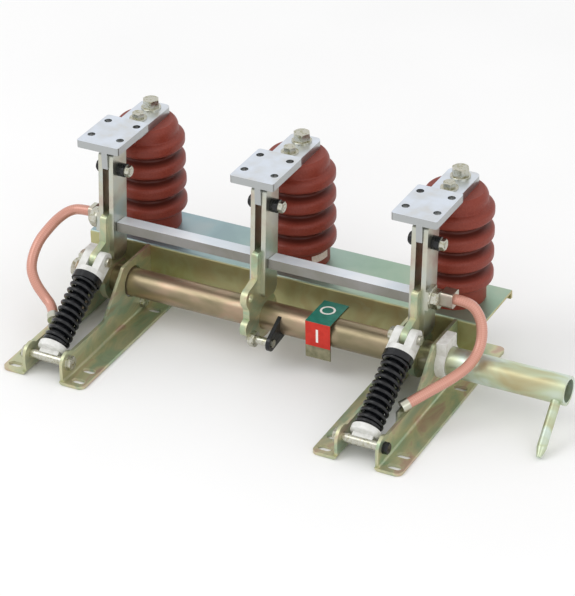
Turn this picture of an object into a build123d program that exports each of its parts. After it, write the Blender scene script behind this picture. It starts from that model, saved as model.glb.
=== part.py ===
"""Three-phase indoor earthing switch. Millimetres, +Z up, origin on the mounting plane
in the middle of the slotted feet, X along the shaft."""

import os
from math import asin, atan2, cos, degrees, hypot, radians, sin, tan

from build123d import *

os.makedirs("parts", exist_ok=True)

# Phases and feet
PHASE_PITCH = 210.0
PHASES = {"left": -PHASE_PITCH, "middle": 0.0, "right": PHASE_PITCH}
SIDES = {"left": -1, "right": 1}
PLATE_T = 4.0
CHANNEL_HALF = 24.0
PLATE_OUTER = CHANNEL_HALF + PLATE_T
FOOT_HALF = 57.0
FOOT_FRONT_Y = -104.0
FOOT_REAR_Y = 200.0
SLOT_OFFSET = 44.5
SLOT_L = 18.0
SLOT_W = 10.0
SLOT_ROWS_Y = (-92.0, -67.0, 92.0)
FOOT_CORNER_R = 8.0
BEND_R = 3.0
BEND_OUTER_R = 5.0

# Bracket outline, front to back
NOSE_R = 15.0
PLATE_LOW_Z = 32.0
RAMP_Y = 2.0
RAMP_R = 14.0
SHOULDER_Y = 52.0
SHOULDER_R = 6.0

# Beam across the back
BEAM_FRONT_Y = 117.0
BEAM_REAR_Y = 210.0
BEAM_TOP_Z = 82.0
BEAM_WEB_LOW_Z = 40.0
BEAM_LIP_LOW_Z = 70.0
BEAM_OVERHANG = 2.0
BEAM_HALF_X = PHASE_PITCH + FOOT_HALF + BEAM_OVERHANG
BEAM_UNDER_Z = BEAM_TOP_Z - PLATE_T
BEAM_WEB_BACK_Y = BEAM_FRONT_Y + PLATE_T

# Shaft
SHAFT_Y = 72.0
SHAFT_Z = 52.0
SHAFT_R = 18.0
SHAFT_BORE_R = 14.0
SHAFT_LEFT_X = -256.0
SHAFT_RIGHT_X = 399.0
RUN_FIT = 0.05
PLATE_HOLE_R = 20.5

# Bearings
BEARING_R = 22.0
BEARING_T = 12.0
HOOD_HALF = 16.0
HOOD_RISE = 31.0

# Lever rod at the driven end
ROD_X = 388.0
ROD_R = 6.0
ROD_START = 14.9
ROD_REACH_X = 6.0
ROD_REACH_Y = -74.1
ROD_REACH_Z = -48.6
ROD_TIP_R = 3.0
ROD_TIP_L = 12.0

# Insulators
POST_Y = 170.0
POST_H = 145.0
POST_TOP_Z = BEAM_TOP_Z + POST_H
POST_BASE_R = 38.5
SHED_COUNT = 4
SHED_PITCH = POST_H / 5
SHED_FIRST_SHARE = 1.086
SHED_FIRST = SHED_PITCH * SHED_FIRST_SHARE
SHED_R = 46.8
SHED_HALF_SHARE = 0.207
SHED_HALF = SHED_PITCH * SHED_HALF_SHARE
SHED_ROUND_SHARE = 0.965
SHED_ROUND = SHED_HALF * SHED_ROUND_SHARE
VALLEY_R = 32.0
VALLEY_ROUND = 3.0
EDGE_ROUND = 2.0
NECK_SHARE = 1.5
NECK_RISE = SHED_HALF * NECK_SHARE
POST_CAP_R = 39.2
POST_CAP_H = 10.0
POST_CAP_ROUND = 12.5

# Fixed contacts
TERMINAL_Y = 92.0
TERMINAL_PITCH = 40.0
TERMINAL_HOLE_R = 4.75
PAD_HALF_X = 29.0
PAD_FRONT_Y = 51.0
PAD_REAR_Y = 126.5
PAD_T = 9.7
PAD_CORNER_R = 3.0
STRAP_T = 10.0
PAD_UNDER_Z = POST_TOP_Z + STRAP_T
STRAP_HALF_X = 20.0
STRAP_FRONT_Y = 107.0
STRAP_REAR_Y = 198.0
STRAP_CORNER_R = 8.0
TONGUE_HALF_T = 4.0
TONGUE_FRONT_Y = 66.0
TONGUE_REAR_Y = 104.0
TONGUE_DEPTH = 31.0
TONGUE_LOW_Z = PAD_UNDER_Z - TONGUE_DEPTH
TONGUE_FILLET = 8.0

# Blades, measured from the shaft axis along and across the blade
BLADE_TILT = radians(4.4)
BLADE_T = 6.0
BLADE_GAP_HALF = 4.3
BLADE_OUTER = BLADE_GAP_HALF + BLADE_T
BLADE_LOW = 28.0
TIP_CLEAR = 13.0
BLADE_HIGH = PAD_UNDER_Z - SHAFT_Z - TIP_CLEAR
BLADE_HALF_W = 16.0
BLADE_CORNER_R = 4.0
BLADE_FOOT_R = 10.0
CLAMP_BELOW_TIP = 23.5
CLAMP_U = BLADE_HIGH - CLAMP_BELOW_TIP
CLAMP_R = 4.0
CLAMP_LEFT = 18.5
CLAMP_RIGHT = 27.0
CLAMP_PLAY = 0.5
DISC_R = 8.5
DISC_LEFT = 17.5
DISC_RIGHT = 20.0

# Arms welded on the shaft
ARM_RING_R = 28.0
ARM_TOP_U = 92.0
ARM_FRONT_V = -24.5
ARM_REAR_V = 13.0
ARM_CORNER_R = 6.0
ARM_BEND_U = 58.0
CRANK_Y = 35.0
CRANK_Z = 95.0
CRANK_LUG_R = 12.0
CRANK_ROOT_HALF = 22.0
CRANK_PIN_R = 6.0
CRANK_PIN_LEFT = 22.5
CRANK_PIN_RIGHT = 18.5

# Lower lug of the middle arm
STOP_Y = 31.0
STOP_Z = 56.0
STOP_R = 11.0
STOP_FRONT_Y = 30.0
STOP_EASE = 4.0

# Drive crank beside the middle arm and its pin
DRIVE_X = 28.0
DRIVE_T = 5.0
DRIVE_ROOT_HALF = 17.0
DRIVE_Y = 33.5
DRIVE_Z = 40.0
DRIVE_LUG_R = 10.0
DRIVE_PIN_R = 5.0
DRIVE_PIN_X0 = 6.0
DRIVE_PIN_X1 = 34.5

# Crossbars between the blades
BAR_U = 74.3
BAR_V = 1.0
BAR_HALF_U = 6.25
BAR_HALF_V = 10.0

# Indicator plate
FLAG_X0 = 68.0
FLAG_X1 = 101.0
FLAG_T = 2.0
FLAG_DEEP = 52.0
FLAG_TALL = 50.0

# Spring struts
FOOT_PIN_Y = -86.0
FOOT_PIN_Z = 22.0
FOOT_PIN_R = 6.0
FOOT_PIN_HALF = 33.0
SADDLE_HALF_X = 13.0
SADDLE_HALF_W = 5.5
SEAT_S = 8.0
SEAT_T = 9.0
SEAT_R = 18.5
SEAT_ROUND = 2.0
LOW_STEM_R = 6.0
LOW_STEM_END = 34.0
SPRING_R = 17.0
WIRE_R = 2.5
COILS = 11.5
FORK_SEAT_BACK = 25.0
FORK_SEAT_T = 7.0
FORK_SEAT_R = 18.0
PRONG_GAP_HALF = 4.6
PRONG_OUTER = 14.5
PRONG_R = 11.5
FORK_STEM_L = 44.0
FORK_STEM_R = 6.0

# Braids and their lugs
BRAID_R = 6.5
LUG_T = 4.0
LUG_U = 79.0
LUG_V = -4.0
LUG_HALF_U = 12.0
LUG_HALF_V = 12.0
LUG_STUD_R = 8.0
LUG_NECK_END = 25.5
LUG_BLOCK_Y = 80.0
LUG_BLOCK_Z = 133.0
LUG_BLOCK_HALF = 9.5
LUG_BLOCK_R = 3.0
LUG_BLOCK_END = {"left": 31.0, "right": 41.0}
LOW_LUG_T = 2.5
LOW_LUG_HALF_Y = 12.0
LOW_LUG_LOW_Z = 18.0
FERRULE_L = 10.0
FERRULE_R = 7.5
ROUNDING_SHARE = 0.45
BRAID_POINTS = {
    "left": (
        (31.0, 80.0, 133.0),
        (48.0, 80.0, 133.0),
        (60.0, 74.5, 130.5),
        (67.5, 62.0, 125.5),
        (72.0, 46.0, 119.0),
        (78.5, 24.0, 105.0),
        (77.0, 3.0, 83.0),
        (65.0, -6.0, 67.0),
        (50.0, -10.0, 54.0),
        (36.0, -16.0, 46.5),
        (28.5, -27.0, 43.0),
    ),
    "right": (
        (41.0, 80.0, 133.0),
        (54.0, 80.0, 133.0),
        (65.5, 82.0, 126.5),
        (76.0, 79.5, 109.5),
        (81.0, 66.0, 88.0),
        (77.5, 44.0, 73.0),
        (63.0, 19.0, 63.0),
        (45.5, -0.4, 53.7),
        (29.0, -21.6, 45.0),
    ),
}

STRUT_DY = CRANK_Y - FOOT_PIN_Y
STRUT_DZ = CRANK_Z - FOOT_PIN_Z
STRUT_L = hypot(STRUT_DY, STRUT_DZ)
STRUT_ANGLE = atan2(STRUT_DZ, STRUT_DY)
SPRING_LOW_S = SEAT_S + SEAT_T
SPRING_HIGH_S = STRUT_L - FORK_SEAT_BACK


def blade_point(u, v):
    """A point u along and v behind the blade's middle line, as (y, z)."""
    return (
        SHAFT_Y + u * sin(BLADE_TILT) + v * cos(BLADE_TILT),
        SHAFT_Z + u * cos(BLADE_TILT) - v * sin(BLADE_TILT),
    )


def strut_plane(centre_x, s):
    """A plane square to the strut, s along it from the foot pin, local x along the shaft."""
    along = (0, cos(STRUT_ANGLE), sin(STRUT_ANGLE))
    origin = (centre_x, FOOT_PIN_Y + s * along[1], FOOT_PIN_Z + s * along[2])
    return Plane(origin=origin, x_dir=(1, 0, 0), z_dir=along)


def taper(y0, z0, half0, y1, z1, half1):
    """Four corners of a tapered strip from one centre to another, as (y, z)."""
    run = hypot(y1 - y0, z1 - z0)
    ny, nz = -(z1 - z0) / run, (y1 - y0) / run
    return [
        (y0 + ny * half0, z0 + nz * half0),
        (y1 + ny * half1, z1 + nz * half1),
        (y1 - ny * half1, z1 - nz * half1),
        (y0 - ny * half0, z0 - nz * half0),
    ]


def save(piece, name):
    piece.label = name
    export_step(piece, f"parts/{name}.step")


# Beam across the back with a front web and a rear lip
with BuildPart() as beam:
    with BuildSketch(Plane.YZ.offset(-BEAM_HALF_X)):
        with BuildLine():
            Polyline(
                (BEAM_FRONT_Y, BEAM_WEB_LOW_Z),
                (BEAM_WEB_BACK_Y, BEAM_WEB_LOW_Z),
                (BEAM_WEB_BACK_Y, BEAM_UNDER_Z),
                (BEAM_REAR_Y - PLATE_T, BEAM_UNDER_Z),
                (BEAM_REAR_Y - PLATE_T, BEAM_LIP_LOW_Z),
                (BEAM_REAR_Y, BEAM_LIP_LOW_Z),
                (BEAM_REAR_Y, BEAM_TOP_Z),
                (BEAM_FRONT_Y, BEAM_TOP_Z),
                close=True,
            )
        make_face()
    extrude(amount=2 * BEAM_HALF_X)
    fillet(
        beam.edges().filter_by(Axis.X).filter_by_position(Axis.Z, BEAM_TOP_Z - RUN_FIT, BEAM_TOP_Z + RUN_FIT),
        BEND_R,
    )
save(beam.part, "base_beam")

# Slotted feet, bent up into plates that carry the shaft and the strut
for side_name, side in SIDES.items():
    for place, hand in (("outer", side), ("inner", -side)):
        centre_x = side * PHASE_PITCH
        with BuildPart() as bracket:
            with BuildSketch(Plane.YZ.offset(centre_x + hand * CHANNEL_HALF)) as plate:
                with BuildLine():
                    Polyline(
                        (FOOT_PIN_Y - NOSE_R, 0),
                        (FOOT_PIN_Y - NOSE_R, FOOT_PIN_Z),
                        (FOOT_PIN_Y, PLATE_LOW_Z),
                        (RAMP_Y, PLATE_LOW_Z),
                        (SHOULDER_Y, BEAM_TOP_Z),
                        (BEAM_FRONT_Y, BEAM_TOP_Z),
                        (BEAM_FRONT_Y, BEAM_WEB_LOW_Z),
                        (BEAM_WEB_BACK_Y, BEAM_WEB_LOW_Z),
                        (BEAM_WEB_BACK_Y, BEAM_UNDER_Z),
                        (FOOT_REAR_Y, BEAM_UNDER_Z),
                        (FOOT_REAR_Y, 0),
                        close=True,
                    )
                make_face()
                fillet(plate.vertices().sort_by_distance((RAMP_Y, PLATE_LOW_Z))[0], RAMP_R)
                fillet(plate.vertices().sort_by_distance((SHOULDER_Y, BEAM_TOP_Z))[0], SHOULDER_R)
                with Locations((FOOT_PIN_Y, FOOT_PIN_Z)):
                    Circle(NOSE_R)
                with Locations((SHAFT_Y, SHAFT_Z)):
                    Circle(PLATE_HOLE_R, mode=Mode.SUBTRACT)
                with Locations((FOOT_PIN_Y, FOOT_PIN_Z)):
                    Circle(FOOT_PIN_R, mode=Mode.SUBTRACT)
            extrude(amount=hand * PLATE_T)
            foot_mid = centre_x + hand * (CHANNEL_HALF + FOOT_HALF) / 2
            with BuildSketch(Plane.XY) as foot:
                with Locations((foot_mid, (FOOT_FRONT_Y + FOOT_REAR_Y) / 2)):
                    Rectangle(FOOT_HALF - CHANNEL_HALF, FOOT_REAR_Y - FOOT_FRONT_Y)
                fillet(foot.vertices().sort_by(Axis.X, reverse=hand > 0)[:2], FOOT_CORNER_R)
                with Locations(*[(centre_x + hand * SLOT_OFFSET, row) for row in SLOT_ROWS_Y]):
                    SlotOverall(SLOT_L, SLOT_W, mode=Mode.SUBTRACT)
            extrude(amount=PLATE_T)
            along = bracket.edges().filter_by(Axis.Y)
            fillet(along.sort_by_distance((centre_x + hand * PLATE_OUTER, 0, PLATE_T))[0], BEND_R)
            along = bracket.edges().filter_by(Axis.Y)
            fillet(along.sort_by_distance((centre_x + hand * CHANNEL_HALF, 0, 0))[0], BEND_OUTER_R)
        save(bracket.part, f"{side_name}_{place}_bracket")

# Nylon shaft bearings on the outer faces
for side_name, side in SIDES.items():
    with BuildPart() as bearing:
        with BuildSketch(Plane.YZ.offset(side * (PHASE_PITCH + PLATE_OUTER))):
            with Locations((SHAFT_Y, SHAFT_Z)):
                Circle(BEARING_R)
            with Locations((SHAFT_Y, SHAFT_Z + HOOD_RISE / 2)):
                Rectangle(2 * HOOD_HALF, HOOD_RISE)
            with Locations((SHAFT_Y, SHAFT_Z)):
                Circle(SHAFT_R + RUN_FIT, mode=Mode.SUBTRACT)
        extrude(amount=side * BEARING_T)
    save(bearing.part, f"{side_name}_bearing")

# Post insulators, turned profile with rounded sheds
lips = [BEAM_TOP_Z + SHED_FIRST + shed * SHED_PITCH for shed in range(SHED_COUNT)]
cap_z = POST_TOP_Z - POST_CAP_H
cap_angle = asin(POST_CAP_H / POST_CAP_ROUND)
cap_centre_r = POST_CAP_R - POST_CAP_ROUND
cap_top_r = cap_centre_r + POST_CAP_ROUND * cos(cap_angle)
outline = [(POST_BASE_R, BEAM_TOP_Z), (POST_BASE_R, lips[0] - NECK_RISE)]
rounds = [EDGE_ROUND]
for lip in lips:
    outline += [(SHED_R, lip - SHED_HALF), (SHED_R, lip + SHED_HALF), (VALLEY_R, lip + SHED_PITCH / 2)]
    rounds += [SHED_ROUND, SHED_ROUND, VALLEY_ROUND]
outline[-1] = (POST_CAP_R, lips[-1] + NECK_RISE)
rounds[-1] = EDGE_ROUND
outline.append((POST_CAP_R, cap_z))
for phase, centre_x in PHASES.items():
    with BuildPart() as post:
        with BuildSketch(Plane.XZ):
            with BuildLine():
                Line((0, BEAM_TOP_Z), (POST_BASE_R, BEAM_TOP_Z))
                FilletPolyline(*outline, radius=rounds)
                ThreePointArc(
                    (POST_CAP_R, cap_z),
                    (
                        cap_centre_r + POST_CAP_ROUND * cos(cap_angle / 2),
                        cap_z + POST_CAP_ROUND * sin(cap_angle / 2),
                    ),
                    (cap_top_r, POST_TOP_Z),
                )
                Polyline((cap_top_r, POST_TOP_Z), (0, POST_TOP_Z), (0, BEAM_TOP_Z))
            make_face()
        revolve(axis=Axis.Z)
    save(post.part.moved(Location((centre_x, POST_Y, 0))), f"{phase}_insulator")

# Fixed contacts: a drilled pad, a strap onto the insulator and a tongue for the blades
for phase, centre_x in PHASES.items():
    with BuildPart() as contact:
        with BuildSketch(Plane.XY.offset(PAD_UNDER_Z)) as pad:
            with Locations((centre_x, (PAD_FRONT_Y + PAD_REAR_Y) / 2)):
                Rectangle(2 * PAD_HALF_X, PAD_REAR_Y - PAD_FRONT_Y)
            fillet(pad.vertices(), PAD_CORNER_R)
            with Locations((centre_x, TERMINAL_Y)):
                with GridLocations(TERMINAL_PITCH, TERMINAL_PITCH, 2, 2):
                    Circle(TERMINAL_HOLE_R, mode=Mode.SUBTRACT)
        extrude(amount=PAD_T)
        with BuildSketch(Plane.XY.offset(POST_TOP_Z)) as strap:
            with Locations((centre_x, (STRAP_FRONT_Y + STRAP_REAR_Y) / 2)):
                Rectangle(2 * STRAP_HALF_X, STRAP_REAR_Y - STRAP_FRONT_Y)
            fillet(strap.vertices().sort_by(Axis.Y)[-2:], STRAP_CORNER_R)
            with Locations((centre_x, TERMINAL_Y)):
                with GridLocations(TERMINAL_PITCH, TERMINAL_PITCH, 2, 2):
                    Circle(TERMINAL_HOLE_R, mode=Mode.SUBTRACT)
        extrude(amount=STRAP_T)
        with BuildSketch(Plane.XZ.offset(-TONGUE_FRONT_Y)):
            with BuildLine():
                Polyline(
                    (centre_x - TONGUE_HALF_T, TONGUE_LOW_Z),
                    (centre_x + TONGUE_HALF_T, TONGUE_LOW_Z),
                    (centre_x + TONGUE_HALF_T, PAD_UNDER_Z - TONGUE_FILLET),
                )
                RadiusArc(
                    (centre_x + TONGUE_HALF_T, PAD_UNDER_Z - TONGUE_FILLET),
                    (centre_x + TONGUE_HALF_T + TONGUE_FILLET, PAD_UNDER_Z),
                    TONGUE_FILLET,
                )
                Line(
                    (centre_x + TONGUE_HALF_T + TONGUE_FILLET, PAD_UNDER_Z),
                    (centre_x - TONGUE_HALF_T - TONGUE_FILLET, PAD_UNDER_Z),
                )
                RadiusArc(
                    (centre_x - TONGUE_HALF_T - TONGUE_FILLET, PAD_UNDER_Z),
                    (centre_x - TONGUE_HALF_T, PAD_UNDER_Z - TONGUE_FILLET),
                    TONGUE_FILLET,
                )
                Line(
                    (centre_x - TONGUE_HALF_T, PAD_UNDER_Z - TONGUE_FILLET),
                    (centre_x - TONGUE_HALF_T, TONGUE_LOW_Z),
                )
            make_face()
        extrude(amount=-(TONGUE_REAR_Y - TONGUE_FRONT_Y))
    save(contact.part, f"{phase}_fixed_contact")

# Hollow shaft with a cross hole for the lever rod
rod_run = hypot(ROD_REACH_X, ROD_REACH_Y, ROD_REACH_Z)
rod_dir = (ROD_REACH_X / rod_run, ROD_REACH_Y / rod_run, ROD_REACH_Z / rod_run)
rod_from = (
    ROD_X + ROD_START * rod_dir[0],
    SHAFT_Y + ROD_START * rod_dir[1],
    SHAFT_Z + ROD_START * rod_dir[2],
)
rod_plane = Plane(origin=rod_from, x_dir=(1, 0, 0), z_dir=rod_dir)
with BuildPart() as shaft:
    with BuildSketch(Plane.YZ.offset(SHAFT_LEFT_X)):
        with Locations((SHAFT_Y, SHAFT_Z)):
            Circle(SHAFT_R)
            Circle(SHAFT_BORE_R, mode=Mode.SUBTRACT)
    extrude(amount=SHAFT_RIGHT_X - SHAFT_LEFT_X)
    with BuildSketch(rod_plane):
        Circle(ROD_R)
    extrude(amount=SHAFT_R, mode=Mode.SUBTRACT)
save(shaft.part, "main_shaft")

with BuildPart() as rod:
    with BuildSketch(rod_plane):
        Circle(ROD_R)
    extrude(amount=rod_run - ROD_START - ROD_TIP_L)
    with BuildSketch(rod_plane.offset(rod_run - ROD_START - ROD_TIP_L)):
        Circle(ROD_R)
    extrude(amount=ROD_TIP_L, taper=degrees(atan2(ROD_R - ROD_TIP_R, ROD_TIP_L)))
save(rod.part, "lever_rod")

# Arms round the shaft, each with a crank lug in front; the middle one has a second lug below it
for phase, centre_x in PHASES.items():
    with BuildPart() as arm:
        with BuildSketch(Plane.YZ.offset(centre_x - BLADE_GAP_HALF)) as side_view:
            with BuildLine():
                Polyline(
                    blade_point(0, ARM_FRONT_V),
                    blade_point(ARM_TOP_U, ARM_FRONT_V),
                    blade_point(ARM_TOP_U, ARM_REAR_V),
                    blade_point(0, ARM_REAR_V),
                    close=True,
                )
            make_face()
            fillet(side_view.vertices().sort_by(Axis.Y)[-2:], ARM_CORNER_R)
            with Locations((SHAFT_Y, SHAFT_Z)):
                Circle(ARM_RING_R)
            with BuildLine():
                Polyline(
                    *taper(SHAFT_Y, SHAFT_Z, CRANK_ROOT_HALF, CRANK_Y, CRANK_Z, CRANK_LUG_R),
                    close=True,
                )
            make_face()
            with BuildLine():
                Polyline(
                    (CRANK_Y, CRANK_Z),
                    (CRANK_Y, CRANK_Z + CRANK_LUG_R),
                    blade_point(ARM_BEND_U, ARM_FRONT_V),
                    (SHAFT_Y, SHAFT_Z),
                    close=True,
                )
            make_face()
            with Locations((CRANK_Y, CRANK_Z)):
                Circle(CRANK_LUG_R)
            if phase == "middle":
                with BuildLine():
                    Polyline(
                        *taper(SHAFT_Y, SHAFT_Z, CRANK_ROOT_HALF, STOP_Y, STOP_Z, STOP_R),
                        close=True,
                    )
                make_face()
                with BuildLine():
                    Polyline(
                        (CRANK_Y, CRANK_Z),
                        (STOP_FRONT_Y, CRANK_Z - STOP_EASE),
                        (STOP_FRONT_Y, STOP_Z + STOP_EASE),
                        (STOP_Y, STOP_Z),
                        (SHAFT_Y, SHAFT_Z),
                        close=True,
                    )
                make_face()
                with Locations((STOP_Y, STOP_Z)):
                    Circle(STOP_R)
            with Locations((CRANK_Y, CRANK_Z)):
                Circle(CRANK_PIN_R, mode=Mode.SUBTRACT)
            with Locations((SHAFT_Y, SHAFT_Z)):
                Circle(SHAFT_R, mode=Mode.SUBTRACT)
        extrude(amount=2 * BLADE_GAP_HALF)
    save(arm.part, f"{phase}_arm")

# Moving blades in pairs either side of the arm
for phase, centre_x in PHASES.items():
    with BuildPart() as blades:
        for start in (centre_x - BLADE_OUTER, centre_x + BLADE_GAP_HALF):
            with BuildSketch(Plane.YZ.offset(start)) as side_view:
                with BuildLine():
                    Polyline(
                        blade_point(BLADE_LOW, -BLADE_HALF_W),
                        blade_point(BLADE_HIGH, -BLADE_HALF_W),
                        blade_point(BLADE_HIGH, BLADE_HALF_W),
                        blade_point(BLADE_LOW, BLADE_HALF_W),
                        close=True,
                    )
                make_face()
                fillet(side_view.vertices().sort_by(Axis.Y)[-2:], BLADE_CORNER_R)
                fillet(side_view.vertices().sort_by(Axis.Y)[:2], BLADE_FOOT_R)
                with Locations(blade_point(CLAMP_U, 0)):
                    Circle(CLAMP_R + CLAMP_PLAY, mode=Mode.SUBTRACT)
            extrude(amount=BLADE_T)
    save(blades.part, f"{phase}_blades")

# Disc spring stacks and the clamp bolts through them
with BuildPart() as discs:
    for centre_x in PHASES.values():
        for hand, end in ((-1, DISC_LEFT), (1, DISC_RIGHT)):
            with BuildSketch(Plane.YZ.offset(centre_x + hand * BLADE_OUTER)):
                with Locations(blade_point(CLAMP_U, 0)):
                    Circle(DISC_R)
                    Circle(CLAMP_R, mode=Mode.SUBTRACT)
            extrude(amount=hand * (end - BLADE_OUTER))
save(discs.part, "contact_springs")

with BuildPart() as clamps:
    for centre_x in PHASES.values():
        with BuildSketch(Plane.YZ.offset(centre_x - CLAMP_LEFT)):
            with Locations(blade_point(CLAMP_U, 0)):
                Circle(CLAMP_R)
        extrude(amount=CLAMP_LEFT + CLAMP_RIGHT)
save(clamps.part, "clamp_bolts")

# Crossbars joining the blades of neighbouring phases
for side_name, side in SIDES.items():
    with BuildPart() as bar:
        with BuildSketch(Plane.YZ.offset(side * BLADE_OUTER)):
            with BuildLine():
                Polyline(
                    blade_point(BAR_U - BAR_HALF_U, BAR_V - BAR_HALF_V),
                    blade_point(BAR_U + BAR_HALF_U, BAR_V - BAR_HALF_V),
                    blade_point(BAR_U + BAR_HALF_U, BAR_V + BAR_HALF_V),
                    blade_point(BAR_U - BAR_HALF_U, BAR_V + BAR_HALF_V),
                    close=True,
                )
            make_face()
        extrude(amount=side * (PHASE_PITCH - 2 * BLADE_OUTER))
    save(bar.part, f"{side_name}_crossbar")

# Drive crank welded to the front of the shaft beside the middle arm, with the pin for the drive link
with BuildPart() as drive:
    with BuildSketch(Plane.YZ.offset(DRIVE_X)):
        with BuildLine():
            Polyline(*taper(SHAFT_Y, SHAFT_Z, DRIVE_ROOT_HALF, DRIVE_Y, DRIVE_Z, DRIVE_LUG_R), close=True)
        make_face()
        with Locations((DRIVE_Y, DRIVE_Z)):
            Circle(DRIVE_LUG_R)
            Circle(DRIVE_PIN_R, mode=Mode.SUBTRACT)
        with Locations((SHAFT_Y, SHAFT_Z)):
            Circle(SHAFT_R, mode=Mode.SUBTRACT)
    extrude(amount=DRIVE_T)
save(drive.part, "drive_crank")

with BuildPart() as drive_pin:
    with BuildSketch(Plane.YZ.offset(DRIVE_PIN_X0)):
        with Locations((DRIVE_Y, DRIVE_Z)):
            Circle(DRIVE_PIN_R)
    extrude(amount=DRIVE_PIN_X1 - DRIVE_PIN_X0)
save(drive_pin.part, "drive_pin")

# Bent position indicator plate resting on the shaft
flag_front, flag_top = SHAFT_Y - SHAFT_R - FLAG_T, SHAFT_Z + SHAFT_R + FLAG_T
with BuildPart() as flag:
    with BuildSketch(Plane.YZ.offset(FLAG_X0)):
        with BuildLine():
            Polyline(
                (flag_front, flag_top),
                (flag_front, flag_top - FLAG_TALL),
                (flag_front + FLAG_T, flag_top - FLAG_TALL),
                (flag_front + FLAG_T, flag_top - FLAG_T),
                (flag_front + FLAG_DEEP, flag_top - FLAG_T),
                (flag_front + FLAG_DEEP, flag_top),
                close=True,
            )
        make_face()
    extrude(amount=FLAG_X1 - FLAG_X0)
save(flag.part, "indicator_flag")

# Spring struts: foot pin, saddle, seat, spring, fork and crank pin
for side_name, side in SIDES.items():
    centre_x = side * PHASE_PITCH

    with BuildPart() as foot_pin:
        with BuildSketch(Plane.YZ.offset(centre_x - FOOT_PIN_HALF)):
            with Locations((FOOT_PIN_Y, FOOT_PIN_Z)):
                Circle(FOOT_PIN_R)
        extrude(amount=2 * FOOT_PIN_HALF)
    save(foot_pin.part, f"{side_name}_foot_pin")

    with BuildPart() as saddle:
        with BuildSketch(strut_plane(centre_x, 0)):
            Rectangle(2 * SADDLE_HALF_X, 2 * SADDLE_HALF_W)
        extrude(amount=SEAT_S)
        with BuildSketch(Plane.YZ.offset(centre_x - SADDLE_HALF_X)):
            with Locations((FOOT_PIN_Y, FOOT_PIN_Z)):
                Circle(FOOT_PIN_R + RUN_FIT)
        extrude(amount=2 * SADDLE_HALF_X, mode=Mode.SUBTRACT)
    save(saddle.part, f"{side_name}_strut_saddle")

    with BuildPart() as seat:
        with BuildSketch(strut_plane(centre_x, SEAT_S)):
            Circle(SEAT_R)
        extrude(amount=SEAT_T)
        fillet(seat.edges().filter_by(GeomType.CIRCLE), SEAT_ROUND)
        with BuildSketch(strut_plane(centre_x, SPRING_LOW_S)):
            Circle(LOW_STEM_R)
        extrude(amount=LOW_STEM_END - SPRING_LOW_S)
    save(seat.part, f"{side_name}_spring_seat")

    spring_l = SPRING_HIGH_S - SPRING_LOW_S
    with BuildPart() as spring:
        with BuildLine():
            coil = Helix(pitch=spring_l / COILS, height=spring_l, radius=SPRING_R - WIRE_R)
        with BuildSketch(Plane(origin=coil @ 0, z_dir=coil % 0)):
            Circle(WIRE_R)
        sweep(path=coil, is_frenet=True)
        with BuildSketch(Plane.XY):
            Circle(SEAT_R)
        extrude(amount=spring_l, mode=Mode.INTERSECT)
    save(spring.part.moved(strut_plane(centre_x, SPRING_LOW_S).location), f"{side_name}_spring")

    with BuildPart() as fork:
        with BuildSketch(strut_plane(centre_x, SPRING_HIGH_S)):
            Circle(FORK_SEAT_R)
        extrude(amount=FORK_SEAT_T)
        with BuildSketch(strut_plane(centre_x, SPRING_HIGH_S)):
            Circle(FORK_STEM_R)
        extrude(amount=-FORK_STEM_L)
        for start in (centre_x - PRONG_OUTER, centre_x + PRONG_GAP_HALF):
            with BuildSketch(Plane.YZ.offset(start)):
                with BuildLine():
                    seat_y = FOOT_PIN_Y + SPRING_HIGH_S * cos(STRUT_ANGLE)
                    seat_z = FOOT_PIN_Z + SPRING_HIGH_S * sin(STRUT_ANGLE)
                    Polyline(*taper(seat_y, seat_z, PRONG_R, CRANK_Y, CRANK_Z, PRONG_R), close=True)
                make_face()
                with Locations((CRANK_Y, CRANK_Z)):
                    Circle(PRONG_R)
            extrude(amount=PRONG_OUTER - PRONG_GAP_HALF)
        with BuildSketch(Plane.YZ.offset(centre_x - PRONG_OUTER)):
            with Locations((CRANK_Y, CRANK_Z)):
                Circle(CRANK_PIN_R + RUN_FIT)
        extrude(amount=2 * PRONG_OUTER, mode=Mode.SUBTRACT)
    save(fork.part, f"{side_name}_fork")

    with BuildPart() as crank_pin:
        with BuildSketch(Plane.YZ.offset(centre_x - CRANK_PIN_LEFT)):
            with Locations((CRANK_Y, CRANK_Z)):
                Circle(CRANK_PIN_R)
        extrude(amount=CRANK_PIN_LEFT + CRANK_PIN_RIGHT)
    save(crank_pin.part, f"{side_name}_crank_pin")

    # Braid lugs on the outer blade and inside the outer foot plate
    with BuildPart() as high_lug:
        with BuildSketch(Plane.YZ.offset(centre_x + side * BLADE_OUTER)):
            with BuildLine():
                Polyline(
                    blade_point(LUG_U - LUG_HALF_U, LUG_V - LUG_HALF_V),
                    blade_point(LUG_U + LUG_HALF_U, LUG_V - LUG_HALF_V),
                    blade_point(LUG_U + LUG_HALF_U, LUG_V + LUG_HALF_V),
                    blade_point(LUG_U - LUG_HALF_U, LUG_V + LUG_HALF_V),
                    close=True,
                )
            make_face()
        extrude(amount=side * LUG_T)
        with BuildSketch(Plane.YZ.offset(centre_x + side * (BLADE_OUTER + LUG_T))):
            with Locations((LUG_BLOCK_Y, LUG_BLOCK_Z)):
                Circle(LUG_STUD_R)
        extrude(amount=side * (LUG_NECK_END - BLADE_OUTER - LUG_T))
        with BuildSketch(Plane.YZ.offset(centre_x + side * LUG_NECK_END)):
            with Locations((LUG_BLOCK_Y, LUG_BLOCK_Z)):
                RectangleRounded(2 * LUG_BLOCK_HALF, 2 * LUG_BLOCK_HALF, LUG_BLOCK_R)
        extrude(amount=side * (LUG_BLOCK_END[side_name] - LUG_NECK_END))
    save(high_lug.part, f"{side_name}_upper_lug")

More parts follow.
